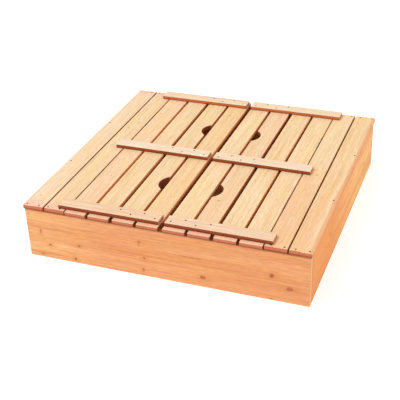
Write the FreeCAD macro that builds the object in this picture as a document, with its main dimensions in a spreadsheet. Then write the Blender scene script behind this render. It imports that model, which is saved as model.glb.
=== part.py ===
import FreeCAD, Part
import os
import Sketcher
from FreeCAD import Placement, Rotation, Vector

# Covered square sandbox with two fold-out bench seats.
# Origin: centre of the footprint on the ground. +X right, +Y back, +Z up.
# Each half of the lid is a seat panel (two boards) hinged to the fixed deck, and a
# backrest panel (two boards under three battens) hinged to the seat panel.

os.makedirs("parts", exist_ok=True)
doc = FreeCAD.newDocument("covered_sandbox")

# ---------------------------------------------------------------- dimensions

DIMENSIONS = {
    # box walls
    "wall_span": 1171,
    "wall_thickness": 24,
    "wall_height": 220,
    # deck and lid boards, all running front to back
    "board_width": 89,
    "board_thickness": 18,
    "fixed_board_length": 1173,
    "lid_board_length": 1181,
    "deck_overhang": 5,
    "fixed_gap": 4.5,
    "seat_hinge_gap": 4,
    "board_gap": 11.5,
    "fold_gap": 15,
    "edge_easing": 1.5,
    "board_easing": 2.5,
    # battens across each backrest panel
    "batten_length": 426,
    "batten_width": 57,
    "batten_thickness": 17,
    "batten_inset": 2.5,
    "batten_spacing": 543.5,
    # half-moon finger holes in the inner edge of the outer back board
    "finger_hole_spacing": 256,
    "finger_hole_chord": 105,
    "finger_hole_depth": 27,
    # butt hinges of the seat panels, leaves screwed to the board edges
    "seat_hinge_spacing": 272,
    "seat_hinge_length": 90,
    "seat_leaf_depth": 16,
    "seat_leaf_thickness": 1.2,
    "seat_barrel_radius": 2,
    "seat_pin_radius": 0.9,
    "seat_hinge_rise": 0.25,
    # strap hinges of the backrest panels, screwed to the undersides
    "strap_spacing": 480,
    "strap_width": 38,
    "strap_length": 186,
    "flap_length": 72,
    "strap_thickness": 2,
    "strap_barrel_radius": 2.5,
    "strap_pin_radius": 1.25,
    # running clearances
    "pin_clearance": 0.05,
    "knuckle_clearance": 0.3,
    "screw_clearance": 0.1,
    # deck screws, sunk a little below the timber
    "deck_screw_head_radius": 3.5,
    "deck_screw_shank_radius": 2,
    "deck_screw_length": 31,
    "wall_screw_length": 52,
    "screw_sink": 0.8,
    "deck_screw_end_inset": 13,
    "deck_screw_side_inset": 14,
    "deck_screw_pitch": 52,
    "side_screw_spacing": 197,
    # hinge screws, flush with the metal
    "hinge_screw_head_radius": 2.8,
    "hinge_screw_shank_radius": 1.5,
    "hinge_screw_length": 14,
}

sheet = doc.addObject("Spreadsheet::Sheet", "dims")
for row, (alias, size) in enumerate(DIMENSIONS.items(), start=1):
    sheet.set(f"A{row}", alias)
    sheet.set(f"B{row}", str(size))
    sheet.setAlias(f"B{row}", alias)
doc.recompute()


def size(expression):
    """Value in millimetres of an expression over the sheet's aliases."""
    return float(sheet.evalExpression(expression))


def halved(expression):
    return f"({expression}) / 2"


# Distance of each board's centre line from the middle of the box, outermost first.
DECK_EDGE = "dims.wall_span / 2 + dims.deck_overhang"
BOARD_CENTRE = {
    "fixed_outer": f"{DECK_EDGE} - 0.5 * dims.board_width",
    "fixed_inner": f"{DECK_EDGE} - 1.5 * dims.board_width - dims.fixed_gap",
    "seat_outer": f"{DECK_EDGE} - 2.5 * dims.board_width - dims.fixed_gap - dims.seat_hinge_gap",
}
BOARD_CENTRE["seat_inner"] = f"{BOARD_CENTRE['seat_outer']} - dims.board_width - dims.board_gap"
BOARD_CENTRE["back_outer"] = f"{BOARD_CENTRE['seat_inner']} - dims.board_width - dims.fold_gap"
BOARD_CENTRE["back_inner"] = f"{BOARD_CENTRE['back_outer']} - dims.board_width - dims.board_gap"

DECK_UNDERSIDE = "dims.wall_height"
DECK_TOP = f"{DECK_UNDERSIDE} + dims.board_thickness"
BATTEN_TOP = f"{DECK_TOP} + dims.batten_thickness"
BATTEN_CENTRE = (
    f"{BOARD_CENTRE['back_inner']} - dims.board_width / 2 + dims.batten_inset"
    " + dims.batten_length / 2"
)

# Hinge axes, both parallel to Y.
SEAT_AXIS_X = f"{BOARD_CENTRE['seat_outer']} + dims.board_width / 2 + dims.seat_hinge_gap / 2"
SEAT_AXIS_Z = f"{DECK_TOP} + dims.seat_hinge_rise"
BACK_AXIS_X = f"{BOARD_CENTRE['seat_inner']} - dims.board_width / 2 - dims.fold_gap / 2"
BACK_AXIS_Z = f"{DECK_UNDERSIDE} - dims.strap_barrel_radius"

SIDES = {"left": -1, "right": 1}
ENDS = {"front": -1, "back": 1}
ROWS = {"front": -1, "middle": 0, "rear": 1}

UP = Vector(0, 0, 1)
DOWN = Vector(0, 0, -1)

nodes = []

# -------------------------------------------------------------------- screws


def screw_solid(head_radius, shank_radius, length, driven=True):
    """Countersunk wood screw along -Z with the face of its head at the origin."""
    head_height = head_radius - shank_radius
    point_length = 2 * shank_radius
    shank_end = point_length - length
    profile = [
        Vector(0, 0, 0),
        Vector(head_radius, 0, 0),
        Vector(shank_radius, 0, -head_height),
        Vector(shank_radius, 0, shank_end),
        Vector(0.3 * shank_radius, 0, -length),
        Vector(0, 0, -length),
    ]
    face = Part.Face(Part.makePolygon(profile + profile[:1]))
    solid = face.revolve(Vector(0, 0, 0), UP, 360)
    if driven:
        slot_length = 1.15 * head_radius
        slot_width = 0.22 * head_radius
        for angle in (0, 90):
            slot = Part.makeBox(slot_length, slot_width, head_height)
            slot.translate(Vector(-slot_length / 2, -slot_width / 2, -0.6 * head_height))
            slot.rotate(Vector(0, 0, 0), UP, angle)
            solid = solid.cut(slot)
    return solid


class ScrewSet:
    """Identical screws: one node, and the holes that they need."""

    def __init__(self, label, kind, length, sink):
        self.label = label
        self.head_radius = size(f"dims.{kind}_head_radius")
        self.shank_radius = size(f"dims.{kind}_shank_radius")
        self.length = size(length)
        self.sink = size(sink)
        self.places = []

    def add(self, point, direction):
        """Drive one screw at a point of the timber's face, along a direction."""
        turn = Rotation(DOWN, direction)
        self.places.append(Placement(point + direction * self.sink, turn))

    def placed(self, solid):
        copies = []
        for place in self.places:
            copy = solid.copy()
            copy.Placement = place
            copies.append(copy)
        return copies

    def solids(self):
        return self.placed(screw_solid(self.head_radius, self.shank_radius, self.length))

    def holes(self):
        """The screws grown by their clearance, open above the head."""
        gap = size("dims.screw_clearance")
        hole = screw_solid(self.head_radius + gap, self.shank_radius + gap, self.length + gap, False)
        mouth = Part.makeCylinder(self.head_radius + gap, self.sink + 1)
        return self.placed(hole.fuse(mouth).removeSplitter())


def holes_through(shape, screw_sets):
    """The holes of these screws that reach into a shape."""
    box = shape.BoundBox
    return [
        hole
        for screws in screw_sets
        for hole in screws.holes()
        if box.intersect(hole.BoundBox)
    ]


def add_screws(screws):
    """Write one set of screws as a node of separate solids."""
    feature = doc.addObject("Part::Feature", screws.label)
    feature.Shape = Part.makeCompound(screws.solids())
    nodes.append(feature)


# -------------------------------------------------------------------- timber


def origin_plane(body, role):
    return next(item for item in body.Origin.OriginFeatures if item.Role == role)


def plan_sketch(body, name):
    """Empty sketch on the body's own XY plane."""
    sketch = body.newObject("Sketcher::SketchObject", name)
    sketch.AttachmentSupport = [(origin_plane(body, "XY_Plane"), "")]
    sketch.MapMode = "FlatFace"
    return sketch


def draw_rectangle(sketch, length_x, length_y):
    """Rectangle centred on the sketch's origin, with both sides bound to the sheet."""
    half_x = size(halved(length_x))
    half_y = size(halved(length_y))
    corners = [
        Vector(-half_x, -half_y, 0),
        Vector(half_x, -half_y, 0),
        Vector(half_x, half_y, 0),
        Vector(-half_x, half_y, 0),
    ]
    for index, corner in enumerate(corners):
        sketch.addGeometry(Part.LineSegment(corner, corners[(index + 1) % 4]), False)
    for index in range(4):
        sketch.addConstraint(Sketcher.Constraint("Coincident", index, 2, (index + 1) % 4, 1))
    for index in (0, 2):
        sketch.addConstraint(Sketcher.Constraint("Horizontal", index))
    for index in (1, 3):
        sketch.addConstraint(Sketcher.Constraint("Vertical", index))
    sketch.addConstraint(Sketcher.Constraint("Symmetric", 0, 1, 1, 2, -1, 1))
    for line, name, length in ((0, "length_x", length_x), (1, "length_y", length_y)):
        place = sketch.addConstraint(Sketcher.Constraint("Distance", line, 1, line, 2, size(length)))
        sketch.renameConstraint(place, name)
        sketch.setExpression(f"Constraints.{name}", length)


def plank_body(label, length_x, length_y, length_z):
    """Plank centred on its own origin, standing on z = 0."""
    body = doc.addObject("PartDesign::Body", label)
    sketch = plan_sketch(body, f"{label}_outline")
    draw_rectangle(sketch, length_x, length_y)
    pad = body.newObject("PartDesign::Pad", f"{label}_pad")
    pad.Profile = sketch
    pad.setExpression("Length", length_z)
    sketch.Visibility = False
    doc.recompute()
    return body


def ease_edges(body, radius="dims.edge_easing"):
    """Round every sharp edge of the plank a little."""
    base = body.Tip
    fillet = body.newObject("PartDesign::Fillet", f"{body.Label}_easing")
    edges = [f"Edge{number}" for number in range(1, len(base.Shape.Edges) + 1)]
    fillet.Base = (base, edges)
    fillet.setExpression("Radius", radius)
    body.Tip = fillet
    doc.recompute()


def cut_finger_holes(body, side):
    """Two circular segments out of the board's inner edge."""
    chord = "dims.finger_hole_chord"
    depth = "dims.finger_hole_depth"
    radius = f"({chord} ^ 2 / 4 + {depth} ^ 2) / (2 * {depth})"
    centre_x = f"dims.board_width / 2 + {radius} - {depth}"
    sketch = plan_sketch(body, f"{body.Label}_finger_circles")
    for end, sign in ENDS.items():
        centre = Vector(-side * size(centre_x), sign * size("dims.finger_hole_spacing"), 0)
        circle = sketch.addGeometry(Part.Circle(centre, UP, size(radius)), False)
        bindings = (
            ("Radius", (circle,), radius),
            ("DistanceX", (circle, 3, -1, 1) if side > 0 else (-1, 1, circle, 3), centre_x),
            ("DistanceY", (-1, 1, circle, 3) if sign > 0 else (circle, 3, -1, 1),
             "dims.finger_hole_spacing"),
        )
        for kind, target, expression in bindings:
            place = sketch.addConstraint(Sketcher.Constraint(kind, *target, size(expression)))
            sketch.renameConstraint(place, f"{end}_{kind}")
            sketch.setExpression(f"Constraints.{end}_{kind}", expression)
    pocket = body.newObject("PartDesign::Pocket", f"{body.Label}_finger_holes")
    pocket.Profile = sketch
    pocket.Type = "ThroughAll"
    pocket.Reversed = True
    sketch.Visibility = False
    whole = body.Shape.Volume
    body.Tip = pocket
    doc.recompute()
    if body.Shape.Volume > whole - 1:
        raise RuntimeError(f"{body.Label}: the finger holes cut nothing")


def set_in_place(body, side, centre_x, centre_y, bottom_z):
    """Bind the plank's place to the sheet: centre line, centre and underside."""
    body.setExpression("Placement.Base.x", f"{side} * ({centre_x})")
    body.setExpression("Placement.Base.y", centre_y)
    body.setExpression("Placement.Base.z", bottom_z)
    doc.recompute()


def drill(body, label, screw_sets):
    """The finished plank: the body with its screw holes cut."""
    holes = doc.addObject("Part::Feature", f"{label}_holes")
    holes.Shape = Part.makeCompound(holes_through(body.Shape, screw_sets))
    cut = doc.addObject("Part::Cut", label)
    cut.Base = body
    cut.Tool = holes
    nodes.append(cut)


def add_board(label, place, side, length, screw_sets, finger_holes=False):
    """One deck or lid board, running front to back."""
    body = plank_body(f"{label}_blank", "dims.board_width", length, "dims.board_thickness")
    if finger_holes:
        cut_finger_holes(body, side)
    ease_edges(body, "dims.board_easing")
    set_in_place(body, side, BOARD_CENTRE[place], "0", DECK_UNDERSIDE)
    drill(body, label, screw_sets)


def add_walls(screw_sets):
    """Front and back walls cover the ends of the side walls."""
    inner_span = "dims.wall_span - 2 * dims.wall_thickness"
    offset = "(dims.wall_span - dims.wall_thickness) / 2"
    for end, sign in ENDS.items():
        label = f"{end}_wall"
        body = plank_body(f"{label}_blank", "dims.wall_span", "dims.wall_thickness", "dims.wall_height")
        ease_edges(body)
        set_in_place(body, 0, "0", f"{sign} * {offset}", "0")
        drill(body, label, screw_sets)
    for name, side in SIDES.items():
        label = f"{name}_wall"
        body = plank_body(f"{label}_blank", "dims.wall_thickness", inner_span, "dims.wall_height")
        ease_edges(body)
        set_in_place(body, side, offset, "0", "0")
        drill(body, label, screw_sets)


def add_battens(name, side, screws):
    """Three battens across the top of one half of the lid."""
    for row, step in ROWS.items():
        label = f"{name}_batten_{row}"
        body = plank_body(
            f"{label}_blank", "dims.batten_length", "dims.batten_width", "dims.batten_thickness"
        )
        ease_edges(body)
        set_in_place(body, side, BATTEN_CENTRE, f"{step} * dims.batten_spacing", DECK_TOP)
        drill(body, label, [screws])


# -------------------------------------------------------------------- hinges


def knuckle_spans(length, gap):
    """Y ranges of the three knuckles: two outer ones and the middle one."""
    third = length / 3
    outer = [(-length / 2, -third / 2 - gap / 2), (third / 2 + gap / 2, length / 2)]
    middle = [(-third / 2 + gap / 2, third / 2 - gap / 2)]
    return outer, middle


def hinge_leaf(kind, width, plate_length, thickness, outer_knuckles):
    """Leaf with its barrel along Y at the origin and its plate along +X, tangent on top."""
    radius = size(f"dims.{kind}_barrel_radius")
    bore = size(f"dims.{kind}_pin_radius + dims.pin_clearance")
    gap = size("dims.knuckle_clearance")
    outer, middle = knuckle_spans(width, gap)
    own, other = (outer, middle) if outer_knuckles else (middle, outer)
    leaf = Part.makeBox(
        plate_length, width, thickness, Vector(0, -width / 2, radius - thickness)
    )
    for start, end in other:
        relief = Part.makeCylinder(
            radius + gap, end - start + 2 * gap, Vector(0, start - gap, 0), Vector(0, 1, 0)
        )
        leaf = leaf.cut(relief)
    for start, end in own:
        knuckle = Part.makeCylinder(radius, end - start, Vector(0, start, 0), Vector(0, 1, 0))
        leaf = leaf.fuse(knuckle)
    leaf = leaf.cut(Part.makeCylinder(bore, width + 2, Vector(0, -width / 2 - 1, 0), Vector(0, 1, 0)))
    return leaf.removeSplitter()


def add_leaf(label, leaf, place, screws):
    """Place one leaf, cut its screw holes and keep it as a node."""
    shape = leaf.copy()
    shape.Placement = place
    for hole in holes_through(shape, [screws]):
        shape = shape.cut(hole)
    feature = doc.addObject("Part::Feature", label)
    feature.Shape = shape
    nodes.append(feature)


def add_pins(label, kind, length, places):
    """Hinge pins as one node of separate solids."""
    pins = []
    for index, (x, y, z) in enumerate(places, start=1):
        pin = doc.addObject("Part::Cylinder", f"{label}_{index}")
        pin.setExpression("Radius", f"dims.{kind}_pin_radius")
        pin.setExpression("Height", length)
        start = Vector(size(x), size(f"{y} - ({length}) / 2"), size(z))
        pin.Placement = Placement(start, Rotation(UP, Vector(0, 1, 0)))
        pins.append(pin)
    group = doc.addObject("Part::Compound", label)
    group.Links = pins
    nodes.append(group)


def turned(side):
    """Rotation that faces a hinge outward on the right side, or its twin on the left."""
    return Rotation(UP, 0 if side > 0 else 180)


FLIPPED = Rotation(UP, 180)
LEAF_DOWN = Rotation(Vector(0, 1, 0), 90)


def seat_hinge_screws(screws, side, facing):
    """Two screws through each seat leaf into the board edge that it lies against."""
    face_x = size(f"{SEAT_AXIS_X} + {facing} * (dims.seat_hinge_gap / 2 - dims.seat_leaf_thickness)")
    height = size(f"{SEAT_AXIS_Z} - 0.6 * dims.seat_leaf_depth")
    spread = size("0.3 * dims.seat_hinge_length")
    for sign in ENDS.values():
        for step in (-1, 1):
            y = sign * size("dims.seat_hinge_spacing") + step * spread
            screws.add(Vector(side * face_x, y, height), Vector(side * facing, 0, 0))


def add_seat_hinges(name, side, fixed_screws, moving_screws):
    """Butt hinges in the gap between the inner fixed board and the outer seat board."""
    width = size("dims.seat_hinge_length")
    depth = size("dims.seat_leaf_depth")
    thickness = size("dims.seat_leaf_thickness")
    fixed = hinge_leaf("seat", width, depth, thickness, True)
    moving = hinge_leaf("seat", width, depth, thickness, False)
    for end, sign in ENDS.items():
        axis = Vector(
            side * size(SEAT_AXIS_X), sign * size("dims.seat_hinge_spacing"), size(SEAT_AXIS_Z)
        )
        inward = Placement(axis, turned(side) * FLIPPED * LEAF_DOWN)
        outward = Placement(axis, turned(side) * LEAF_DOWN)
        add_leaf(f"{name}_seat_hinge_fixed_leaf_{end}", fixed, outward, fixed_screws)
        add_leaf(f"{name}_seat_hinge_moving_leaf_{end}", moving, inward, moving_screws)


def strap_hinge_screws(strap_screws, flap_screws, side):
    """Screws up through the straps into both seat boards, and through the flaps."""
    under = size(f"{DECK_UNDERSIDE} - dims.strap_thickness")
    pitch = size("dims.board_width / 4")
    for step in ROWS.values():
        y = step * size("dims.strap_spacing")
        for board in ("seat_inner", "seat_outer"):
            for offset in (-pitch, pitch):
                strap_screws.add(Vector(side * (size(BOARD_CENTRE[board]) + offset), y, under), UP)
        for offset in (0.2 * pitch, 1.4 * pitch):
            flap_screws.add(Vector(side * (size(BOARD_CENTRE["back_outer"]) + offset), y, under), UP)


def add_strap_hinges(name, side, strap_screws, flap_screws):
    """Strap hinges under the gap between the inner seat board and the outer back board."""
    width = size("dims.strap_width")
    thickness = size("dims.strap_thickness")
    strap = hinge_leaf("strap", width, size("dims.strap_length"), thickness, True)
    flap = hinge_leaf("strap", width, size("dims.flap_length"), thickness, False)
    for row, step in ROWS.items():
        axis = Vector(
            side * size(BACK_AXIS_X), step * size("dims.strap_spacing"), size(BACK_AXIS_Z)
        )
        add_leaf(f"{name}_back_hinge_strap_{row}", strap, Placement(axis, turned(side)), strap_screws)
        add_leaf(
            f"{name}_back_hinge_flap_{row}", flap, Placement(axis, turned(side) * FLIPPED), flap_screws
        )


# ------------------------------------------------------------- screw layouts


def wall_screw_layout():
    """Three screws through each end of the front and back walls into the side walls."""
    screws = ScrewSet("wall_screws", "deck_screw", "dims.wall_screw_length", "dims.screw_sink")
    centre = size("(dims.wall_span - dims.wall_thickness) / 2")
    face = size("dims.wall_span / 2")
    heights = (size("0.1 * dims.wall_height"), size("dims.wall_height / 2"), size("0.91 * dims.wall_height"))
    for sign in ENDS.values():
        for side in SIDES.values():
            for height in heights:
                screws.add(Vector(side * centre, sign * face, height), Vector(0, -sign, 0))
    return screws


def fixed_board_screw_layout():
    """Two screws at each end of each fixed board, and two along the outer board's edge."""
    screws = ScrewSet("fixed_board_screws", "deck_screw", "dims.deck_screw_length", "dims.screw_sink")
    top = size(DECK_TOP)
    end_y = size("dims.fixed_board_length / 2 - dims.deck_screw_end_inset")
    outermost = size(f"{DECK_EDGE} - dims.deck_screw_side_inset")
    pitch = size("dims.deck_screw_pitch")
    inner_step = size("dims.board_width + dims.fixed_gap")
    for side in SIDES.values():
        for sign in ENDS.values():
            for x in (outermost, outermost - pitch, outermost - inner_step, outermost - inner_step - pitch):
                screws.add(Vector(side * x, sign * end_y, top), DOWN)
            screws.add(Vector(side * outermost, sign * size("dims.side_screw_spacing"), top), DOWN)
    return screws


def batten_screw_layout(name, side):
    """Four screws in a zigzag through each batten into the two back boards."""
    screws = ScrewSet(f"{name}_batten_screws", "deck_screw", "dims.deck_screw_length", "dims.screw_sink")
    top = size(BATTEN_TOP)
    pitch = size("dims.deck_screw_pitch")
    zigzag = size("0.21 * dims.batten_width")
    for step in ROWS.values():
        y = step * size("dims.batten_spacing")
        for board in ("back_outer", "back_inner"):
            outer = size(f"{BOARD_CENTRE[board]} + dims.board_width / 2 - dims.deck_screw_side_inset")
            screws.add(Vector(side * outer, y + zigzag, top), DOWN)
            screws.add(Vector(side * (outer - pitch), y - zigzag, top), DOWN)
    return screws


def hinge_screw_set(label):
    return ScrewSet(label, "hinge_screw", "dims.hinge_screw_length", "0")


# ------------------------------------------------------------------ assembly

wall_screws = wall_screw_layout()
fixed_board_screws = fixed_board_screw_layout()
seat_fixed_leaf_screws = hinge_screw_set("seat_hinge_fixed_leaf_screws")

for name, side in SIDES.items():
    seat_hinge_screws(seat_fixed_leaf_screws, side, 1)

add_walls([wall_screws, fixed_board_screws])

for name, side in SIDES.items():
    moving_leaf_screws = hinge_screw_set(f"{name}_seat_hinge_moving_leaf_screws")
    strap_screws = hinge_screw_set(f"{name}_back_hinge_strap_screws")
    flap_screws = hinge_screw_set(f"{name}_back_hinge_flap_screws")
    batten_screws = batten_screw_layout(name, side)
    seat_hinge_screws(moving_leaf_screws, side, -1)
    strap_hinge_screws(strap_screws, flap_screws, side)

    deck_sets = [fixed_board_screws, seat_fixed_leaf_screws]
    for place in ("fixed_outer", "fixed_inner"):
        add_board(f"{name}_{place}_board", place, side, "dims.fixed_board_length", deck_sets)
    for place in ("seat_outer", "seat_inner"):
        add_board(
            f"{name}_{place}_board", place, side, "dims.lid_board_length",
            [strap_screws, moving_leaf_screws],
        )
    for place in ("back_outer", "back_inner"):
        add_board(
            f"{name}_{place}_board", place, side, "dims.lid_board_length",
            [batten_screws, flap_screws], finger_holes=place == "back_outer",
        )
    add_battens(name, side, batten_screws)
    add_seat_hinges(name, side, seat_fixed_leaf_screws, moving_leaf_screws)
    add_strap_hinges(name, side, strap_screws, flap_screws)
    back_axis = f"{side} * ({BACK_AXIS_X})"
    add_pins(
        f"{name}_back_hinge_pins", "strap", "dims.strap_width",
        [(back_axis, f"{step} * dims.strap_spacing", BACK_AXIS_Z) for step in ROWS.values()],
    )
    for screws in (moving_leaf_screws, strap_screws, flap_screws, batten_screws):
        add_screws(screws)

add_pins(
    "seat_hinge_pins", "seat", "dims.seat_hinge_length",
    [
        (f"{side} * ({SEAT_AXIS_X})", f"{sign} * dims.seat_hinge_spacing", SEAT_AXIS_Z)
        for side in SIDES.values()
        for sign in ENDS.values()
    ],
)
for screws in (wall_screws, fixed_board_screws, seat_fixed_leaf_screws):
    add_screws(screws)

# -------------------------------------------------------------------- export

doc.recompute()
for item in doc.Objects:
    if "Invalid" in item.State or "Error" in item.State:
        raise RuntimeError(f"{item.Label}: {item.State}")
for node in nodes:
    if node.Shape.isNull() or not node.Shape.isValid():
        raise RuntimeError(f"{node.Label}: bad shape")
for node in nodes:
    node.Shape.exportStep(f"parts/{node.Label}.step")
print(len(nodes), "nodes,", sum(len(node.Shape.Solids) for node in nodes), "solids")
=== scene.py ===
import math
import random

import bpy
from mathutils import Matrix, Vector


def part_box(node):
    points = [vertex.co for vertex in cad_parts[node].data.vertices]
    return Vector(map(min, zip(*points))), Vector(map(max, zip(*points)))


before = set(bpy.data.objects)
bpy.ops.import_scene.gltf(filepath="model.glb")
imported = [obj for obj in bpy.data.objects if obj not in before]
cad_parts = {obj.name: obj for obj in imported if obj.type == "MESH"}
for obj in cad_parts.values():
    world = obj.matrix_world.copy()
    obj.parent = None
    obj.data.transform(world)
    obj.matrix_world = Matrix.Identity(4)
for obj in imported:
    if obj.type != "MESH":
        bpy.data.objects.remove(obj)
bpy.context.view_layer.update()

MM = 0.001


def rgb(red, green, blue):
    """Linear colour from the 0 to 255 values of a display."""
    linear = []
    for channel in (red, green, blue):
        value = channel / 255
        linear.append(value / 12.92 if value <= 0.04045 else ((value + 0.055) / 1.055) ** 2.4)
    return (*linear, 1)


# ------------------------------------------------------------------- settings

# Camera: the photograph's view, fitted to the corners of the box.
CAMERA_AZIMUTH = math.radians(21.44)
CAMERA_ELEVATION = math.radians(30.54)
CAMERA_ROLL = math.radians(-2.25)
CAMERA_DISTANCE = 3.807
CAMERA_TARGET = Vector((-0.012, -0.130, 0.100))
CAMERA_LENS = 80.4
SENSOR_WIDTH = 36

# Two soft boxes: name, place, size, watts and colour.
LIGHT_TARGET = Vector((0, 0, 0.1))
SOFTBOXES = (
    ("key", Vector((-4.16, -3.2, 9.38)), (5.6, 4.8), 494, (1, 0.985, 0.96)),
    ("fill", Vector((3.9, 0.5, 2.6)), (2.4, 2.0), 21, (1, 0.99, 0.98)),
)

# The world is brightest at the horizon, so that the floor ends in white.
HORIZON_LEVEL = 1.0
SKY_LEVEL = 0.65
SKY_FADE = (0.03, 0.25)

FLOOR_SIZE = 200
FLOOR_GLOW = 0.62
FLOOR_COLOUR = rgb(206, 205, 204)
FLOOR_GLOW_COLOUR = rgb(255, 255, 255)
GROUND_DRY = rgb(164, 124, 90)
GROUND_DAMP = rgb(134, 98, 68)
# The ground inside the box glows faintly brown: a painted glow.
GROUND_GLOW_COLOUR = rgb(83, 38, 18)
GROUND_RELIEF = 3 * MM
DAMP_SCALE = 7.0
SAND_SCALE = 260.0

# The ground inside the box ends below the walls, this far in from their outer faces.
UNDER_WALL = 12 * MM

# Face colours of the timber.
WALL = (248, 198, 146)
SIDE_WALL = (255, 212, 143)
BLUSH = (249, 234, 204)
CREAM = (249, 233, 194)
ROSE = (249, 228, 193)
HONEY = (248, 226, 182)

# Edge colours, in the light and near the underside. The side faces are painted darker and more
# orange than the faces as painted shade, and darker still near the underside.
WALL_EDGE = ((240, 168, 110), (150, 84, 46))
LID_EDGE = ((255, 178, 108), (218, 122, 64))
# Painted shade: boards with a finger hole have darker edges, for the hole's walls.
HOLED_EDGE = ((232, 144, 86), (150, 70, 32))
# Painted shade: the sides of the fixed boards, seen in the gaps, are darkest.
FIXED_EDGE = ((182, 86, 34), (104, 44, 12))
# The outer sides of the two outer fixed boards keep a lighter, lit colour.
OUTWARD_EDGE = rgb(226, 152, 98)

# End grain: early wood, late wood, and near the underside, where it is painted darker as painted
# shade.
WALL_END = ((248, 198, 146), (226, 164, 112), (214, 150, 100))
DECK_END = ((214, 124, 90), (178, 88, 58), (112, 46, 24))
BATTEN_END = ((234, 158, 116), (200, 120, 80), (150, 76, 44))

# Tints of single features.
HEARTWOOD = rgb(238, 178, 122)
BESIDE_HEARTWOOD = rgb(250, 230, 196)
# Near the board ends the faces turn pinker and darker: partly a pinker tone, partly painted
# shadow of the battens.
END_BLUSH = (1.0, 0.88, 0.88, 1)
# Painted shadow: the side faces turn dark near the board ends.
END_EDGE = rgb(128, 62, 32)
# Painted shade along the arrises of the fixed boards' gaps.
GAP_ARRIS = rgb(160, 78, 28)

# Tints of painted shade, darker and warmer, over part of a face.
BOARD_SHADE_TINT = (0.975, 0.62, 0.54, 1)
WALL_SHADE_TINT = (0.905, 0.745, 0.725, 1)
SIDE_SHADE_TINT = (0.905, 0.585, 0.41, 1)

# Where the painted shade comes in, in lengths of the board from its middle: full, none.
BOARD_SHADE_REACH = (-0.2, 0.15)
WALL_SHADE_REACH = (-0.1, -0.5)
SIDE_SHADE_REACH = (-0.25, 0.3)

# Deck boards: face and edge colours, and how strong the painted shade at the front end is.
DECK_BOARDS = {
    "left_fixed_outer": (BLUSH, FIXED_EDGE, 0.0),
    "left_fixed_inner": (CREAM, FIXED_EDGE, 0.0),
    "left_seat_outer": (ROSE, LID_EDGE, 0.0),
    "left_seat_inner": (CREAM, LID_EDGE, 0.02),
    "left_back_outer": (CREAM, HOLED_EDGE, 0.0),
    "left_back_inner": (HONEY, LID_EDGE, 0.0),
    "right_back_inner": (CREAM, LID_EDGE, 0.0),
    "right_back_outer": (ROSE, HOLED_EDGE, 0.05),
    "right_seat_inner": (CREAM, LID_EDGE, 0.0),
    "right_seat_outer": (CREAM, LID_EDGE, 0.06),
    "right_fixed_inner": (CREAM, FIXED_EDGE, 0.45),
    "right_fixed_outer": (HONEY, FIXED_EDGE, 0.26),
}

# The two boards with an edge on the outside, and the side of X that it faces.
OUTWARD_SIDES = {"left_fixed_outer": -1.0, "right_fixed_outer": 1.0}

# Battens: face and edge colours of each row; the edge colours paint the sides' shade, in the
# light and near the underside.
BATTEN_ROWS = {
    "front": ((246, 219, 191), ((160, 74, 32), (94, 34, 8))),
    "middle": ((247, 232, 209), ((166, 80, 38), (98, 38, 12))),
    "rear": ((246, 229, 201), ((206, 116, 70), (146, 72, 34))),
}

# Patches of tone: noise scale along and across the grain, the noise levels
# between which a patch fades in, and the noise's detail.
PINK_PATCHES = (2.4, 14.0, 0.38, 0.64)
AMBER_PATCHES = (5.0, 26.0, 0.44, 0.66, 3.0)
MOTTLE = (34.0, 120.0, 0.36, 0.62, 3.0)
SPECKLE = (110.0, 210.0, 0.46, 0.66)
BANDS = (0.9, 24.0, 0.42, 0.6, 3.0)
STREAKS = (2.2, 95.0, 0.48, 0.7, 3.0)
LINES = (3.0, 170.0, 0.46, 0.68, 3.0)
HAIRLINES = (5.0, 330.0, 0.5, 0.74, 2.0)
BESIDE_HEARTWOOD_PATCHES = (3.0, 8.0, 0.3, 0.6)
PATCH_ROUGHNESS = 0.6

# Strengths of the patches.
PINK_STRENGTHS = (0.45, 0.8)
AMBER_STRENGTH = 0.75
MOTTLE_PER_FIGURE = 1.25
SPECKLE_STRENGTH = 0.4
LINE_SHARE = 0.55
HAIRLINE_SHARE = 0.95
BOARD_STREAKS = 0.6

# Fine texture: noise scale along and across the grain, detail and roughness.
FIBRE = (22.0, 1300.0, 3.0, 0.65)
GRAIN = (26.0, 240.0, 3.0, 0.7)
FLECKS = (60.0, 420.0, 1.0)
FLECK_LEVELS = (0.73, 0.79)
PORE_SCALE = 1700.0

# How much the fine texture shades the timber, and how boards differ in tone.
FIBRE_SHADE = 0.26
GRAIN_SHADE = 0.44
FLECK_SHADE = 0.25
BOARD_TONES = (0.985, 1.015)
TIMBER_ROUGHNESS = 0.55

# The pith: how far off it lies at most, in widths of the board, its depth in
# metres, its greatest slopes, and how far it wanders.
PITH_ACROSS = 0.45
PITH_DEPTH = (0.035, 0.085)
LEAN_ACROSS = 0.02
LEAN_DEPTH = 0.025
PITH_WANDER = 30 * MM

# Growth rings: ripple, unevenness in years, and, in shares of a year, where late
# wood comes in and ends.
RING_RIPPLE = 5 * MM
RING_UNEVENNESS = 2.4
LATE_WOOD_START = (0.25, 0.9)
LATE_WOOD_END = (0.92, 1.0)
WEAKEST_RING = 0.3

# Knots. Lengths are in knot radii.
KNOT_RAGGEDNESS = 1.1
KNOT_CORE = (0.8, 1.02)
KNOT_HALO = (0.7, 2.8)
HALO_SQUEEZE = (0.5, 1.0, 1.0)
SWELL_REACH = 4.5
SWELL_HEIGHT = 1.7
CORE_STRENGTH = 0.85
HALO_STRENGTH = 0.42

# A core's fine lines: rings per radius, where the rim darkens, the levels inside
# and at the rim, and the width and level of the drying check.
KNOT_RINGS = 17.0
RIM_REACH = (0.55, 0.85)
RIM_LEVELS = (0.5, -1.6)
CHECK_WIDTH = (0.04, 0.14)
CHECK_LEVEL = -1.8

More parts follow.
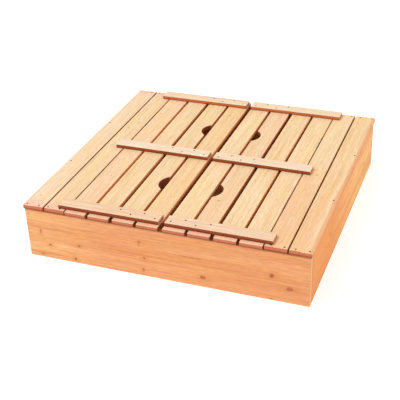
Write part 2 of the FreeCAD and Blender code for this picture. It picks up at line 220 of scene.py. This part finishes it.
# Heartwood and the paler strip beside it, in widths of the board from its middle.
HEARTWOOD_REACH = (0.32, 0.42)
BESIDE_HEARTWOOD_REACH = (0.14, 0.26)
HEARTWOOD_WANDER = 24 * MM

# Sawn faces: how far a face turns away before it is an edge, an end or an arris,
# as components of its normal, and how far features reach in from the ends.
EDGE_TURN = (0.25, 0.6)
END_TURN = (0.86, 0.97)
ARRIS_TURN = (0.84, 0.99)
ARRIS_OF_FACE = (0.05, 0.2)
# The arrises get a painted highlight, paler than the face.
ARRIS_STRENGTH = 0.35
GAP_ARRIS_BOOST = 2.2
END_BLUSH_REACH = (25 * MM, 75 * MM)
END_GRAIN_REACH = (6 * MM, 12 * MM)
HOLE_MARGIN = 4 * MM

# Where edges and end grain turn dark with painted shade, in thicknesses from the board's middle.
UNDERSIDE_SHADE = (-0.05, -0.42)

# Noise scales of plated steel.
ROLLING_SCALES = (900.0, 60.0, 900.0)
SPOT_SCALE = 210.0
GRIME_SCALE = 34.0

# Bump of planed timber and of plated steel.
TIMBER_RELIEF = 0.35 * MM
STEEL_RELIEF = 0.06 * MM


# -------------------------------------------------------------- shader graphs


class Graph:
    """A material's node tree, with short calls for the nodes that it uses."""

    def __init__(self, name):
        self.material = bpy.data.materials.new(name)
        self.material.use_nodes = True
        self.tree = self.material.node_tree
        self.tree.nodes.clear()

    def add(self, kind, inputs=(), **settings):
        node = self.tree.nodes.new(kind)
        for name, value in settings.items():
            setattr(node, name, value)
        for key, value in dict(inputs).items():
            self.feed(node.inputs[key], value)
        return node

    def feed(self, socket, value):
        if isinstance(value, bpy.types.NodeSocket):
            self.tree.links.new(value, socket)
        else:
            socket.default_value = value

    def math(self, operation, *values):
        return self.add("ShaderNodeMath", enumerate(values), operation=operation).outputs[0]

    def vector(self, operation, *values):
        node = self.add("ShaderNodeVectorMath", enumerate(values), operation=operation)
        return node.outputs["Value" if operation == "LENGTH" else "Vector"]

    def linear(self, value, factor, offset):
        return self.math("MULTIPLY_ADD", value, factor, offset)

    def centred(self, noise, size):
        """Noise from 0 to 1 made to swing about zero by half a size either way."""
        return self.linear(noise, size, -size / 2)

    def combine(self, x, y, z=0.0):
        return self.add("ShaderNodeCombineXYZ", {0: x, 1: y, 2: z}).outputs[0]

    def separate(self, vector):
        return self.add("ShaderNodeSeparateXYZ", {0: vector}).outputs

    def noise(self, vector, scale, detail, roughness=0.5):
        inputs = {"Vector": vector, "Scale": scale, "Detail": detail, "Roughness": roughness}
        return self.add("ShaderNodeTexNoise", inputs).outputs["Fac"]

    def smooth(self, value, low, high, to_low=0.0, to_high=1.0):
        """A soft step, from one level to another between two values."""
        inputs = {0: value, 1: low, 2: high, 3: to_low, 4: to_high}
        return self.add("ShaderNodeMapRange", inputs, interpolation_type="SMOOTHSTEP").outputs[0]

    def mix(self, factor, first, second, blend="MIX"):
        node = self.add("ShaderNodeMix", data_type="RGBA", blend_type=blend)
        for key, value in ((0, factor), (6, first), (7, second)):
            self.feed(node.inputs[key], value)
        return node.outputs[2]

    def tint(self, colour, mask, strength, other):
        """A colour drawn towards another under a mask, at some strength."""
        return self.mix(self.math("MULTIPLY", mask, strength), colour, other)

    def shade(self, colour, level):
        """A colour made lighter or darker by a level about 1."""
        return self.mix(1.0, colour, self.combine(level, level, level), "MULTIPLY")

    def bump(self, height, distance, strength):
        inputs = {"Height": height, "Distance": distance, "Strength": strength}
        return self.add("ShaderNodeBump", inputs).outputs[0]

    def finish(self, **inputs):
        """Close the graph with a principled shader and return the material."""
        shader = self.add("ShaderNodeBsdfPrincipled")
        for name, value in inputs.items():
            self.feed(shader.inputs[name.replace("_", " ")], value)
        output = self.add("ShaderNodeOutputMaterial")
        self.tree.links.new(shader.outputs[0], output.inputs[0])
        return self.material


# --------------------------------------------------------------------- timber


class Stock:
    """One kind of timber: colours of its faces, edges and ends, and its figure."""

    def __init__(self, face, late, pink, amber, edge, end, knot, ring, figure, gloss):
        self.face = rgb(*face)
        self.late = rgb(*late)
        self.pink = rgb(*pink)
        self.amber = rgb(*amber)
        self.edge, self.edge_shaded = (rgb(*colour) for colour in edge)
        self.end, self.end_late, self.end_shaded = (rgb(*colour) for colour in end)
        self.knot = rgb(*knot)
        self.ring = ring * MM
        self.figure = figure
        self.gloss = gloss


def toned(colour, *factors):
    """A colour with each channel scaled."""
    return tuple(channel * factor for channel, factor in zip(colour, factors))


def wall_stock(face):
    """Wall board of a given face colour."""
    return Stock(
        face=face,
        late=toned(face, 0.86, 0.67, 0.52),
        pink=toned(face, 0.97, 0.86, 0.83),
        amber=toned(face, 0.995, 0.97, 0.84),
        edge=WALL_EDGE,
        end=WALL_END,
        knot=(158, 82, 48),
        ring=3.4,
        figure=0.42,
        gloss=0.12,
    )


def deck_stock(face, edge):
    """Deck board of given face and edge colours."""
    return Stock(
        face=face,
        late=toned(face, 0.92, 0.8, 0.64),
        pink=toned(face, 1.0, 0.9, 0.9),
        amber=toned(face, 1.0, 0.95, 0.77),
        edge=edge,
        end=DECK_END,
        knot=(146, 84, 48),
        ring=3.4,
        figure=0.72,
        gloss=0.25,
    )


def batten_stock(face, edge):
    """Batten of given face and edge colours."""
    return Stock(
        face=face,
        late=toned(face, 0.93, 0.82, 0.7),
        pink=toned(face, 1.0, 0.93, 0.94),
        amber=toned(face, 1.0, 0.97, 0.86),
        edge=edge,
        end=BATTEN_END,
        knot=(160, 100, 66),
        ring=3.0,
        figure=0.5,
        gloss=0.25,
    )


class Knot:
    """A branch cut by the board's face.

    Place and radius are in millimetres, stretch is across the grain, and depth is
    how strongly the knot shows, from 0 to 1.
    """

    def __init__(self, along, across, radius, stretch, depth):
        self.along = along * MM
        self.across = across * MM
        self.radius = radius * MM
        self.stretch = stretch
        self.depth = depth


def scattered_knots(rng, count, length, width, smallest, largest):
    """A few knots at seeded places, their sizes in millimetres."""
    knots = []
    for _ in range(count):
        knots.append(Knot(
            rng.uniform(-0.46, 0.46) * length / MM,
            rng.uniform(-0.38, 0.38) * width / MM,
            rng.uniform(smallest, largest),
            rng.uniform(0.8, 1.5),
            rng.uniform(0.5, 1.0),
        ))
    return knots


class Timber(Graph):
    """Sawn board: growth rings round a wandering pith line, cut by the board's faces.

    outward is the sign of the side whose edge is on the outside, or 0 if neither is.
    """

    def __init__(
        self, node, grain, width_axis, face_axis, stock,
        has_heartwood=False, blushing_ends=False, dark_arris=False, outward=0.0,
    ):
        super().__init__(f"{node}_timber")
        self.rng = random.Random(node)
        self.stock = stock
        self.has_heartwood = has_heartwood
        self.blushing_ends = blushing_ends
        self.dark_arris = dark_arris
        self.outward = outward
        low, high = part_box(node)
        span = high - low
        self.length, self.width, self.thickness = (
            span["XYZ".index(axis)] for axis in (grain, width_axis, face_axis)
        )
        place = self.add("ShaderNodeTexCoord")
        self.local = self.vector("SUBTRACT", place.outputs["Object"], (low + high) / 2)
        axes = self.separate(self.local)
        self.along, self.across, self.thick = (
            axes["XYZ".index(axis)] for axis in (grain, width_axis, face_axis)
        )
        normals = self.separate(self.vector("ABSOLUTE", place.outputs["Normal"]))
        self.end_facing, self.edge_facing, self.face_facing = (
            normals["XYZ".index(axis)] for axis in (grain, width_axis, face_axis)
        )
        self.seed = [self.rng.uniform(-40, 40) for _ in range(3)]

    def drawn(self, scale_along, scale_across, detail, roughness=0.5):
        """Noise with its own scale along and across the grain."""
        scaled = self.combine(
            self.math("MULTIPLY", self.along, scale_along),
            self.math("MULTIPLY", self.across, scale_across),
            self.math("MULTIPLY", self.thick, scale_across),
        )
        return self.noise(self.vector("ADD", scaled, self.seed), 1.0, detail, roughness)

    def grown(self, scale_along, scale_across, low, high, detail=2.0):
        """Soft-edged patches, drawn out along the grain."""
        patches = self.drawn(scale_along, scale_across, detail, PATCH_ROUGHNESS)
        return self.smooth(patches, low, high)

    def cut_knots(self, knots):
        """Core and halo masks, dark rings in the cores, and the swell of the rings round them."""
        self.core, self.halo, self.swell, self.knot_grain = 0.0, 0.0, 0.0, 0.0
        for knot in knots:
            offset_along = self.math("SUBTRACT", self.along, knot.along)
            offset_across = self.math("SUBTRACT", self.across, knot.across)
            offset = self.combine(offset_along, self.math("DIVIDE", offset_across, knot.stretch))
            ragged = self.noise(offset, 0.5 / knot.radius, 2.0)
            ragged = self.centred(ragged, KNOT_RAGGEDNESS)
            distance = self.math("DIVIDE", self.vector("LENGTH", offset), knot.radius)
            distance = self.math("ADD", distance, ragged)
            drawn_out = self.vector("MULTIPLY", offset, HALO_SQUEEZE)
            far = self.math("DIVIDE", self.vector("LENGTH", drawn_out), knot.radius)
            far = self.math("ADD", far, ragged)
            core = self.smooth(distance, *KNOT_CORE, knot.depth, 0.0)
            halo = self.smooth(far, *KNOT_HALO, knot.depth, 0.0)
            swell = self.smooth(distance, 0.0, SWELL_REACH, SWELL_HEIGHT * knot.radius, 0.0)
            rings = self.math("SINE", self.math("MULTIPLY", distance, KNOT_RINGS))
            rim = self.smooth(distance, *RIM_REACH, *RIM_LEVELS)
            narrow, wide = (width * knot.radius for width in CHECK_WIDTH)
            off_check = self.math("ABSOLUTE", offset_across)
            check = self.smooth(off_check, narrow, wide, CHECK_LEVEL, 0.0)
            grain = self.math("ADD", self.math("ADD", rings, rim), check)
            self.core = self.math("MAXIMUM", self.core, core)
            self.halo = self.math("MAXIMUM", self.halo, halo)
            self.swell = self.math("ADD", self.swell, swell)
            self.knot_grain = self.linear(grain, core, self.knot_grain)

    def grow_rings(self):
        """Late wood of each year's ring, by distance from the pith."""
        rng = self.rng
        pith_across = rng.uniform(-PITH_ACROSS, PITH_ACROSS) * self.width
        pith_depth = rng.choice((-1, 1)) * rng.uniform(*PITH_DEPTH)
        lean_across = rng.uniform(-LEAN_ACROSS, LEAN_ACROSS)
        lean_depth = rng.uniform(-LEAN_DEPTH, LEAN_DEPTH)
        wander = self.centred(self.drawn(1.6, 5.0, 1.0), PITH_WANDER)
        ripple = self.centred(self.drawn(9.0, 30.0, 2.0), RING_RIPPLE)
        off_across = self.math("SUBTRACT", self.across, pith_across)
        off_across = self.linear(self.along, -lean_across, off_across)
        off_depth = self.math("SUBTRACT", self.thick, pith_depth)
        off_depth = self.linear(self.along, -lean_depth, off_depth)
        off_depth = self.math("ADD", off_depth, self.math("ADD", self.swell, wander))
        off_pith = self.combine(self.math("ADD", off_across, ripple), off_depth)
        radius = self.vector("LENGTH", off_pith)
        uneven = self.noise(self.combine(radius, self.seed[0]), 70.0, 1.0)
        even = self.math("DIVIDE", radius, self.stock.ring)
        rings = self.linear(uneven, RING_UNEVENNESS, even)
        year = self.math("FLOOR", rings)
        phase = self.math("FRACT", rings)
        ripening = self.smooth(phase, *LATE_WOOD_START)
        ending = self.smooth(phase, *LATE_WOOD_END, 1.0, 0.0)
        late = self.math("MULTIPLY", ripening, ending)
        chance = self.add("ShaderNodeTexWhiteNoise", {"W": year}, noise_dimensions="1D")
        vigour = self.linear(chance.outputs["Value"], 1.0 - WEAKEST_RING, WEAKEST_RING)
        self.figure = self.math("MULTIPLY", late, vigour)

    def face_colour(self, streakiness, painted_shading, banding):
        """Planed face: ring figure, patches, painted shade towards one end, bands and streaks."""
        stock = self.stock
        colour = self.tint(stock.face, self.figure, stock.figure, stock.late)
        pink_strength = self.rng.uniform(*PINK_STRENGTHS)
        colour = self.tint(colour, self.grown(*PINK_PATCHES), pink_strength, stock.pink)
        colour = self.tint(colour, self.grown(*AMBER_PATCHES), AMBER_STRENGTH, stock.amber)
        mottling = MOTTLE_PER_FIGURE * stock.figure
        colour = self.tint(colour, self.grown(*MOTTLE), mottling, stock.pink)
        colour = self.tint(colour, self.grown(*SPECKLE), SPECKLE_STRENGTH, stock.amber)
        # Painted shade: part of the face is darkened and warmed.
        strength, (full, none), shade_tint = painted_shading
        if strength:
            shade_mask = self.smooth(
                self.along, full * self.length, none * self.length, strength, 0.0
            )
            colour = self.mix(shade_mask, colour, shade_tint, "MULTIPLY")
        if banding:
            colour = self.tint(colour, self.grown(*BANDS), banding, stock.late)
        for patches, share in ((STREAKS, 1.0), (LINES, LINE_SHARE), (HAIRLINES, HAIRLINE_SHARE)):
            colour = self.tint(colour, self.grown(*patches), share * streakiness, stock.late)
        return colour

    def heartwood(self, colour):
        """A deeper strip along the board's outer edge, beside a paler one."""
        wander = self.centred(self.drawn(3.0, 3.0, 2.0), HEARTWOOD_WANDER)
        across = self.math("ADD", self.across, wander)
        patches = self.grown(*BESIDE_HEARTWOOD_PATCHES)
        near, far = (share * self.width for share in BESIDE_HEARTWOOD_REACH)
        colour = self.tint(
            colour, self.smooth(across, near, far, 0.0, patches), 0.5, BESIDE_HEARTWOOD
        )
        near, far = (share * self.width for share in HEARTWOOD_REACH)
        return self.mix(self.smooth(across, near, far, 0.0, 0.9), colour, HEARTWOOD)

    def sawn_colour(self, colour):
        """Edges and end grain over the face colour, both darker towards the underside as painted
        shade.
        """
        stock = self.stock
        reach = self.math("SUBTRACT", 0.5 * self.length, self.math("ABSOLUTE", self.along))
        # Near the ends the face turns pinker and darker, partly a tone and partly painted shadow
        # of the battens.
        if self.blushing_ends:
            blush = self.smooth(reach, *END_BLUSH_REACH, 0.8, 0.0)
            colour = self.mix(blush, colour, stock.pink)
            colour = self.mix(blush, colour, END_BLUSH, "MULTIPLY")
        # Painted shade: edges and end grain darken towards the underside.
        upper, lower = (share * self.thickness for share in UNDERSIDE_SHADE)
        underside_shade = self.smooth(self.thick, upper, lower)
        edge_mask = self.smooth(self.face_facing, *EDGE_TURN, 1.0, 0.0)
        edge_colour = self.mix(underside_shade, stock.edge, stock.edge_shaded)
        edge_colour = self.tint(edge_colour, self.figure, 0.4, stock.edge_shaded)
        # Painted shadow: the edges turn dark near the ends.
        if self.blushing_ends:
            edge_colour = self.mix(blush, edge_colour, END_EDGE)
        if self.outward:
            side = self.math("MULTIPLY", self.across, self.outward)
            outside = self.math("GREATER_THAN", side, 0.0)
            edge_colour = self.mix(outside, edge_colour, OUTWARD_EDGE)
        # Painted shade: the side faces take the darker edge colour.
        colour = self.mix(edge_mask, colour, edge_colour)

        # An edge face away from both edges is the wall of a finger hole, painted dark as the
        # hole's shade.
        rim = 0.5 * self.width - HOLE_MARGIN
        hollow = self.math("LESS_THAN", self.math("ABSOLUTE", self.across), rim)
        hollow = self.math("MULTIPLY", hollow, edge_mask)
        colour = self.tint(colour, hollow, 0.95, stock.edge_shaded)

        at_end = self.smooth(reach, *END_GRAIN_REACH, 1.0, 0.0)
        end_facing = self.smooth(self.end_facing, *END_TURN)
        self.end_mask = self.math("MULTIPLY", end_facing, at_end)
        end_colour = self.mix(self.figure, stock.end, stock.end_late)
        end_colour = self.tint(end_colour, underside_shade, 0.9, stock.end_shaded)
        seeded = self.vector("ADD", self.local, self.seed)
        self.pores = self.noise(seeded, PORE_SCALE, 2.0, 0.7)
        end_colour = self.shade(end_colour, self.smooth(self.pores, 0.3, 0.7, 0.84, 1.08))
        return self.mix(self.end_mask, colour, end_colour)

    def knot_colour(self, colour):
        """Dark ringed cores in warmer halos."""
        colour = self.tint(colour, self.halo, HALO_STRENGTH, self.stock.late)
        ringed = self.linear(self.knot_grain, 0.14, 1.12)
        return self.tint(colour, self.core, CORE_STRENGTH, self.shade(self.stock.knot, ringed))

    def arris_colour(self, colour):
        """Rounded arrises: a painted highlight, a little paler, or painted shade, dark along a
        fixed board's gaps.
        """
        flattest = self.math("MAXIMUM", self.end_facing, self.edge_facing)
        flattest = self.math("MAXIMUM", flattest, self.face_facing)
        arris = self.smooth(flattest, *ARRIS_TURN, ARRIS_STRENGTH, 0.0)
        arris = self.math("MULTIPLY", arris, self.smooth(self.face_facing, *ARRIS_OF_FACE))
        if not self.dark_arris:
            return self.mix(arris, colour, self.stock.face)
        arris = self.math("MULTIPLY", arris, GAP_ARRIS_BOOST)
        if self.outward:
            inward = self.math("MULTIPLY", self.across, -self.outward)
            arris = self.math("MULTIPLY", arris, self.math("GREATER_THAN", inward, 0.0))
        return self.mix(arris, colour, GAP_ARRIS)

    def board(
        self, knots, streakiness=BOARD_STREAKS, painted_shading=(0.0, (0.0, 0.0), None), banding=0.0,
        grime_and_painted_shade=0.0,
    ):
        """The finished material; a mask darkens lines of painted shade where boards meet and
        under the deck.

        The painted shade over one end is given as how strong it is, where it is so in full
        and not at all, in lengths of the board from its middle, and its tint.
        """
        self.cut_knots(knots)
        self.grow_rings()
        colour = self.face_colour(streakiness, painted_shading, banding)
        if self.has_heartwood:
            colour = self.heartwood(colour)
        colour = self.knot_colour(self.sawn_colour(colour))

        fibre = self.drawn(*FIBRE)
        grain = self.drawn(*GRAIN)
        fleck = self.smooth(self.drawn(*FLECKS), *FLECK_LEVELS)
        tone = self.rng.uniform(*BOARD_TONES)
        colour = self.shade(colour, self.linear(fibre, FIBRE_SHADE, tone - FIBRE_SHADE / 2))
        colour = self.shade(colour, self.linear(grain, GRAIN_SHADE, 1.0 - GRAIN_SHADE / 2))
        colour = self.shade(colour, self.linear(fleck, -FLECK_SHADE, 1.0))
        colour = self.mix(grime_and_painted_shade, self.arris_colour(colour), self.stock.edge_shaded)

        relief = self.linear(self.figure, 0.5, self.math("MULTIPLY", fibre, 0.5))
        relief = self.linear(self.core, -0.5, relief)
        end_pores = self.math("MULTIPLY", self.pores, self.end_mask)
        relief = self.linear(end_pores, 1.2, relief)
        roughness = self.linear(fibre, 0.14, TIMBER_ROUGHNESS)
        roughness = self.linear(self.end_mask, 0.18, roughness)
        roughness = self.linear(self.figure, -0.07, roughness)
        return self.finish(
            Base_Color=colour,
            Roughness=roughness,
            Normal=self.bump(relief, TIMBER_RELIEF, 0.6),
            Specular_IOR_Level=self.stock.gloss,
        )


# --------------------------------------------------------------------- metals


def plated_steel(name, colour, dull, roughness, metallic=0.9, gloss=0.5):
    """Plated steel with rolling marks, dull spots and grime."""
    graph = Graph(name)
    place = graph.add("ShaderNodeTexCoord").outputs["Object"]
    rolled = graph.noise(graph.vector("MULTIPLY", place, ROLLING_SCALES), 1.0, 3.0, 0.6)
    spots = graph.smooth(graph.noise(place, SPOT_SCALE, 3.0, 0.6), 0.48, 0.66)
    grime_and_painted_shade = graph.smooth(graph.noise(place, GRIME_SCALE, 2.0), 0.4, 0.7)
    shade = graph.tint(rgb(*colour), spots, 0.5, rgb(*dull))
    shade = graph.tint(shade, grime_and_painted_shade, 0.4, rgb(*dull))
    shade = graph.shade(shade, graph.linear(rolled, 0.24, 0.88))
    rough = graph.linear(rolled, 0.16, roughness)
    rough = graph.linear(spots, 0.2, rough)
    relief = graph.linear(spots, -0.4, rolled)
    return graph.finish(
        Base_Color=shade,
        Roughness=rough,
        Metallic=metallic,
        Specular_IOR_Level=gloss,
        Normal=graph.bump(relief, STEEL_RELIEF, 0.5),
    )


# ------------------------------------------------------------- dress the parts

# Knots of the front wall, from its middle, in millimetres.
FRONT_KNOTS = (
    Knot(-525, 12, 3.5, 3.2, 0.75),
    Knot(-490, -45, 6.5, 0.9, 0.8),
    Knot(-358, -27, 6.0, 0.9, 0.9),
    Knot(-529, -96, 9.0, 0.5, 0.7),
    Knot(-380, -93, 5.0, 1.9, 0.85),
    Knot(-93, 46, 6.0, 1.2, 0.6),
    Knot(-95, 34, 4.0, 1.2, 0.45),
    Knot(-75, -26, 5.0, 1.2, 0.8),
    Knot(-82, -83, 4.5, 2.3, 0.75),
    Knot(-302, 89, 3.0, 0.9, 0.5),
    Knot(165, -66, 12.0, 0.8, 0.8),
    Knot(439, 0, 8.5, 1.3, 0.95),
    Knot(508, -47, 14.0, 0.7, 0.75),
    Knot(156, 92, 2.5, 0.7, 0.7),
    Knot(437, -104, 5.0, 0.6, 0.7),
    Knot(95, 17, 9.0, 0.22, 0.5),
    Knot(125, 16, 12.0, 0.2, 0.55),
    Knot(152, 14, 10.0, 0.22, 0.45),
)

# Knots of the right wall, from its middle towards the back.
RIGHT_KNOTS = (
    Knot(-267, 15, 6.0, 1.5, 0.9),
    Knot(-535, 48, 3.2, 3.4, 0.7),
    Knot(383, -6, 5.0, 1.4, 0.7),
    Knot(352, -24, 3.5, 1.2, 0.5),
    Knot(94, -9, 4.0, 1.2, 0.4),
    Knot(-60, 62, 3.0, 1.2, 0.4),
)


def dress(node, material):
    """Give a carried-over CAD node its finished material."""
    mesh_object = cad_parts[node]
    if not mesh_object.material_slots:
        mesh_object.data.materials.append(material)
    for slot in mesh_object.material_slots:
        slot.material = material


def wall_knots(node, wall):
    """The photographed knots of a wall, or seeded ones where it wasn't seen."""
    seen = {"front_wall": FRONT_KNOTS, "right_wall": RIGHT_KNOTS}
    if node in seen:
        return seen[node]
    rng = random.Random(f"{node} knots")
    return scattered_knots(rng, 9, wall.length, wall.width, 4.0, 9.5)


def dress_end_walls():
    """Front and back walls, with a painted shadow line under the deck."""
    for node in ("front_wall", "back_wall"):
        wall = Timber(node, "X", "Z", "Y", wall_stock(WALL))
        rim = 0.5 * wall.width
        # Painted shadow: a dark line along the top, under the deck's overhang.
        grime_and_painted_shade = wall.smooth(wall.across, rim - 7 * MM, rim - 2 * MM, 0.0, 0.8)
        dress(node, wall.board(
            wall_knots(node, wall),
            streakiness=0.58,
            painted_shading=(0.75, WALL_SHADE_REACH, WALL_SHADE_TINT),
            banding=0.3,
            grime_and_painted_shade=grime_and_painted_shade,
        ))


def dress_side_walls():
    """Left and right walls, with painted shade: a dark line at the corners and a faint band under
    the deck.
    """
    for node in ("left_wall", "right_wall"):
        wall = Timber(node, "Y", "Z", "X", wall_stock(SIDE_WALL))
        # Painted shade: a dark line at the corner joints.
        joint = 0.5 * wall.length
        from_middle = wall.math("ABSOLUTE", wall.along)
        grime_and_painted_shade = wall.smooth(from_middle, joint - 6 * MM, joint - 2 * MM, 0.0, 0.8)
        # Painted shadow: a faint band along the top, under the deck.
        rim = 0.5 * wall.width
        top = wall.smooth(wall.across, rim - 26 * MM, rim - 16 * MM, 0.0, 0.14)
        dress(node, wall.board(
            wall_knots(node, wall),
            streakiness=0.85,
            painted_shading=(1.0, SIDE_SHADE_REACH, SIDE_SHADE_TINT),
            banding=0.55,
            grime_and_painted_shade=wall.math("MAXIMUM", grime_and_painted_shade, top),
        ))


def dress_boards():
    for name, (face, edge, front_shading) in DECK_BOARDS.items():
        node = f"{name}_board"
        board = Timber(
            node, "Y", "X", "Z", deck_stock(face, edge),
            has_heartwood=name == "right_fixed_outer",
            blushing_ends="right_fixed" not in name,
            dark_arris="fixed" in name,
            outward=OUTWARD_SIDES.get(name, 0.0),
        )
        count = board.rng.choice((2, 3, 3, 4))
        knots = scattered_knots(board.rng, count, board.length, board.width, 1.4, 3.6)
        painted_shading = (front_shading, BOARD_SHADE_REACH, BOARD_SHADE_TINT)
        dress(node, board.board(knots, painted_shading=painted_shading))


def dress_battens():
    for side in ("left", "right"):
        for row, colours in BATTEN_ROWS.items():
            node = f"{side}_batten_{row}"
            dress(node, Timber(node, "X", "Y", "Z", batten_stock(*colours)).board(()))


def dress_metal():
    bright = plated_steel("zinc_plate", (204, 198, 186), (150, 142, 130), 0.32)
    dark = plated_steel("weathered_screw", (40, 32, 28), (22, 17, 14), 0.65, 0.3, 0.12)
    bronze = plated_steel("bronze_plate", (150, 112, 76), (98, 66, 42), 0.36)
    brass = plated_steel("brass_plate", (206, 170, 116), (150, 112, 68), 0.3)
    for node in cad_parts:
        if node in ("fixed_board_screws", "left_batten_screws", "right_batten_screws"):
            dress(node, dark)
        elif node == "wall_screws":
            dress(node, bright)
        elif "hinge" in node:
            dress(node, brass if "screws" in node else bronze)


# -------------------------------------------------------- floor, light, camera


def add_floor():
    """White sweep, lit from within; inside the box the ground is sandy and has a faint brown
    painted glow.
    """
    bpy.ops.mesh.primitive_plane_add(size=FLOOR_SIZE, location=(0, 0, 0))
    floor = bpy.context.object
    floor.name = "floor"
    graph = Graph("studio_floor")
    spot = graph.add("ShaderNodeTexCoord").outputs["Object"]
    place = graph.separate(spot)
    reach_x, reach_y = (graph.math("ABSOLUTE", place[axis]) for axis in (0, 1))
    low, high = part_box("front_wall")
    wall = 0.5 * (high.x - low.x) - UNDER_WALL
    outside = graph.math("GREATER_THAN", graph.math("MAXIMUM", reach_x, reach_y), wall)
    damp = graph.smooth(graph.noise(spot, DAMP_SCALE, 4.0, 0.6), 0.35, 0.65)
    grains = graph.noise(spot, SAND_SCALE, 3.0, 0.75)
    ground = graph.mix(damp, GROUND_DRY, GROUND_DAMP)
    ground = graph.shade(ground, graph.smooth(grains, 0.3, 0.7, 0.72, 1.22))
    height = graph.math("MULTIPLY", grains, graph.math("SUBTRACT", 1.0, outside))
    floor.data.materials.append(graph.finish(
        Base_Color=graph.mix(outside, ground, FLOOR_COLOUR),
        Roughness=0.9,
        Emission_Color=graph.mix(outside, GROUND_GLOW_COLOUR, FLOOR_GLOW_COLOUR),
        Emission_Strength=FLOOR_GLOW,
        Normal=graph.bump(height, GROUND_RELIEF, 0.7),
    ))


def add_world():
    world = bpy.data.worlds.new("studio")
    world.use_nodes = True
    tree = world.node_tree
    height = tree.nodes.new("ShaderNodeSeparateXYZ")
    tree.links.new(tree.nodes.new("ShaderNodeTexCoord").outputs["Generated"], height.inputs[0])
    level = tree.nodes.new("ShaderNodeMapRange")
    level.interpolation_type = "SMOOTHSTEP"
    for socket, value in enumerate((*SKY_FADE, HORIZON_LEVEL, SKY_LEVEL), start=1):
        level.inputs[socket].default_value = value
    tree.links.new(height.outputs["Z"], level.inputs[0])
    background = tree.nodes["Background"]
    tree.links.new(level.outputs[0], background.inputs["Strength"])
    background.inputs["Color"].default_value = (1, 1, 1, 1)
    bpy.context.scene.world = world


def add_softboxes():
    for name, place, size, power, colour in SOFTBOXES:
        light = bpy.data.lights.new(name, "AREA")
        light.shape = "RECTANGLE"
        light.size, light.size_y = size
        light.energy = power
        light.color = colour
        lamp = bpy.data.objects.new(name, light)
        lamp.location = place
        lamp.rotation_euler = (LIGHT_TARGET - place).to_track_quat("-Z", "Y").to_euler()
        bpy.context.scene.collection.objects.link(lamp)


def add_camera():
    back = Vector((
        math.sin(CAMERA_AZIMUTH) * math.cos(CAMERA_ELEVATION),
        -math.cos(CAMERA_AZIMUTH) * math.cos(CAMERA_ELEVATION),
        math.sin(CAMERA_ELEVATION),
    ))
    level_right = (-back).cross(Vector((0, 0, 1))).normalized()
    level_up = level_right.cross(-back)
    right = level_right * math.cos(CAMERA_ROLL) + level_up * math.sin(CAMERA_ROLL)
    up = level_up * math.cos(CAMERA_ROLL) - level_right * math.sin(CAMERA_ROLL)
    lens = bpy.data.cameras.new("camera")
    lens.lens = CAMERA_LENS
    lens.sensor_width = SENSOR_WIDTH
    camera = bpy.data.objects.new("camera", lens)
    turn = Matrix((right, up, back)).transposed().to_4x4()
    camera.matrix_world = Matrix.Translation(CAMERA_TARGET + back * CAMERA_DISTANCE) @ turn
    bpy.context.scene.collection.objects.link(camera)
    bpy.context.scene.camera = camera


dress_end_walls()
dress_side_walls()
dress_boards()
dress_battens()
dress_metal()
add_floor()
add_world()
add_softboxes()
add_camera()
bpy.context.scene.view_settings.view_transform = "Standard"
